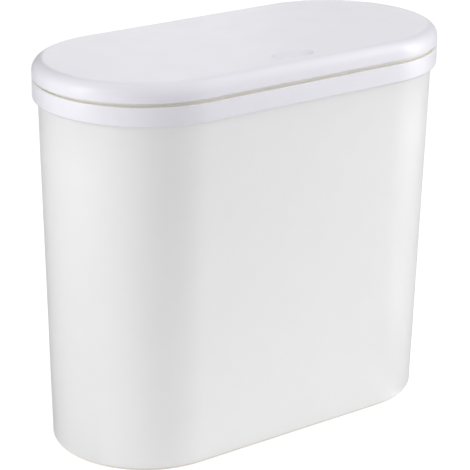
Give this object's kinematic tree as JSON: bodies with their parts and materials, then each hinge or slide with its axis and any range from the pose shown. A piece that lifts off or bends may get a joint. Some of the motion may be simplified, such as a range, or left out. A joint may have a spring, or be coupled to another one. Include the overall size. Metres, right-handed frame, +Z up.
{
  "type": "bathroom bin",
  "caption": "Slim stadium-shaped bathroom bin with a lift-off collar and a sprung lid that opens when its front is pressed.",
  "frame": {"origin": "centre of the bin's footprint, on the surface it stands on", "axes": "+X along the bin's long side, to the right seen from the front; -Y to the front with the press spot; +Y to the hinge; +Z up"},
  "size_m": [0.301, 0.1465, 0.2663],
  "materials": {
    "bucket_plastic": "satin white moulded polypropylene",
    "lid_plastic": "semi-gloss white moulded ABS",
    "acetal": "natural acetal",
    "latch_plastic": "grey moulded ABS",
    "zinc_screw": "zinc-plated steel",
    "spring_steel": "drawn spring steel wire",
    "bumper_rubber": "translucent soft rubber"
  },
  "bodies": {
    "bucket_body": {"bucket": "bucket_plastic"},
    "collar_body": {"collar": "lid_plastic", "latch_housing": "latch_plastic", "latch_cover": "latch_plastic", "latch_screw_left": "zinc_screw", "latch_screw_right": "zinc_screw", "latch_spring": "spring_steel", "cam_follower": "spring_steel", "hinge_pin_left": "spring_steel", "hinge_pin_right": "spring_steel", "torsion_spring_left": "spring_steel", "torsion_spring_right": "spring_steel", "lid_bumper_1": "bumper_rubber", "lid_bumper_2": "bumper_rubber", "lid_bumper_3": "bumper_rubber", "lid_bumper_4": "bumper_rubber"},
    "lid_body": {"lid_shell": "lid_plastic", "striker": "acetal", "striker_screw_left": "zinc_screw", "striker_screw_right": "zinc_screw"},
    "latch_body": {"latch_slider": "acetal", "latch_claws": "acetal"}
  },
  "joints": [
    {"name": "collar_lift", "type": "slide", "parent": "bucket_body", "child": "collar_body", "axis": [0, 0, 1], "range_m": [0, 0.06]},
    {"name": "lid_hinge", "type": "hinge", "parent": "collar_body", "child": "lid_body", "pos_m": [0, 0.0695, 0.255], "axis": [-1, 0, 0], "range_deg": [-0.9, 85], "deforming": ["torsion_spring_left", "torsion_spring_right"]},
    {"name": "latch_slide", "type": "slide", "parent": "collar_body", "child": "latch_body", "axis": [0, 0, 1], "range_m": [-0.002, 0.005], "stiffness_N_per_m": 300, "deforming": ["latch_spring", "cam_follower", "latch_claws"]}
  ]
}
